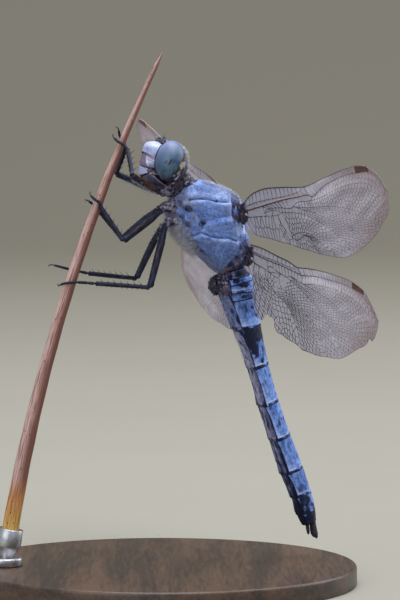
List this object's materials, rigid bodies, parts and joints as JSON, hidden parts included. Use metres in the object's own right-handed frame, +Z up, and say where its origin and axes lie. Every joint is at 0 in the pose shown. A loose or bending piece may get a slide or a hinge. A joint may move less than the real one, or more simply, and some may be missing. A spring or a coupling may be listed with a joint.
{
  "type": "dragonfly display model",
  "caption": "Life-size blue male skimmer dragonfly with spread wings, gripping a leaning rush stem that a short rod holds over a round base.",
  "frame": {"origin": "centre of the round base's underside", "axes": "+Z up; the stem stands on the -X side of the base and leans towards +X, and the insect hangs on it head up, facing -X, with its left wings out towards -Y and its right wings towards +Y"},
  "size_m": [0.0417, 0.0724, 0.0538],
  "materials": {
    "bloom_shell": "horny shell under a powdery pale blue bloom, darker in the seams",
    "face_shell": "smooth bluish white shell, lilac in the folds",
    "eye": "glossy grey-blue facets, paler on top and greener below, with dark spots",
    "dark_shell": "blue-black shell with a dull gloss",
    "wing": "clear, faintly milky film with a satin sheen between dark veins",
    "leg": "blue-black shell with a dull gloss and short black spines",
    "rush_stem": "dry reddish brown rush with fine lengthwise streaks, yellow at the foot",
    "stand_base": "dark stained fine-grained wood, satin",
    "stand_metal": "plain brushed metal"
  },
  "bodies": {
    "root": {"abdomen_1": "bloom_shell", "abdomen_10": "bloom_shell", "abdomen_2": "bloom_shell", "abdomen_3": "bloom_shell", "abdomen_4": "bloom_shell", "abdomen_5": "bloom_shell", "abdomen_6": "bloom_shell", "abdomen_7": "bloom_shell", "abdomen_8": "bloom_shell", "abdomen_9": "bloom_shell", "accessory_genitalia": "dark_shell", "antenna_left": "dark_shell", "antenna_right": "dark_shell", "cercus_left": "dark_shell", "cercus_right": "dark_shell", "clypeus": "face_shell", "epiproct": "dark_shell", "eye_left": "eye", "eye_right": "eye", "forewing_left": "wing", "forewing_right": "wing", "frons": "face_shell", "head_shell": "dark_shell", "hindwing_left": "wing", "hindwing_right": "wing", "labium": "dark_shell", "labrum": "dark_shell", "leg_fore_left_coxa": "leg", "leg_fore_left_femur": "leg", "leg_fore_left_tarsus": "leg", "leg_fore_left_tibia": "leg", "leg_fore_right_coxa": "leg", "leg_fore_right_femur": "leg", "leg_fore_right_tarsus": "leg", "leg_fore_right_tibia": "leg", "leg_hind_left_coxa": "leg", "leg_hind_left_femur": "leg", "leg_hind_left_tarsus": "leg", "leg_hind_left_tibia": "leg", "leg_hind_right_coxa": "leg", "leg_hind_right_femur": "leg", "leg_hind_right_tarsus": "leg", "leg_hind_right_tibia": "leg", "leg_mid_left_coxa": "leg", "leg_mid_left_femur": "leg", "leg_mid_left_tarsus": "leg", "leg_mid_left_tibia": "leg", "leg_mid_right_coxa": "leg", "leg_mid_right_femur": "leg", "leg_mid_right_tarsus": "leg", "leg_mid_right_tibia": "leg", "prothorax": "dark_shell", "stand_base": "stand_base", "stand_boss": "stand_metal", "stand_rod": "stand_metal", "stem": "rush_stem", "thorax": "bloom_shell", "vertex": "dark_shell"}
  },
  "joints": []
}
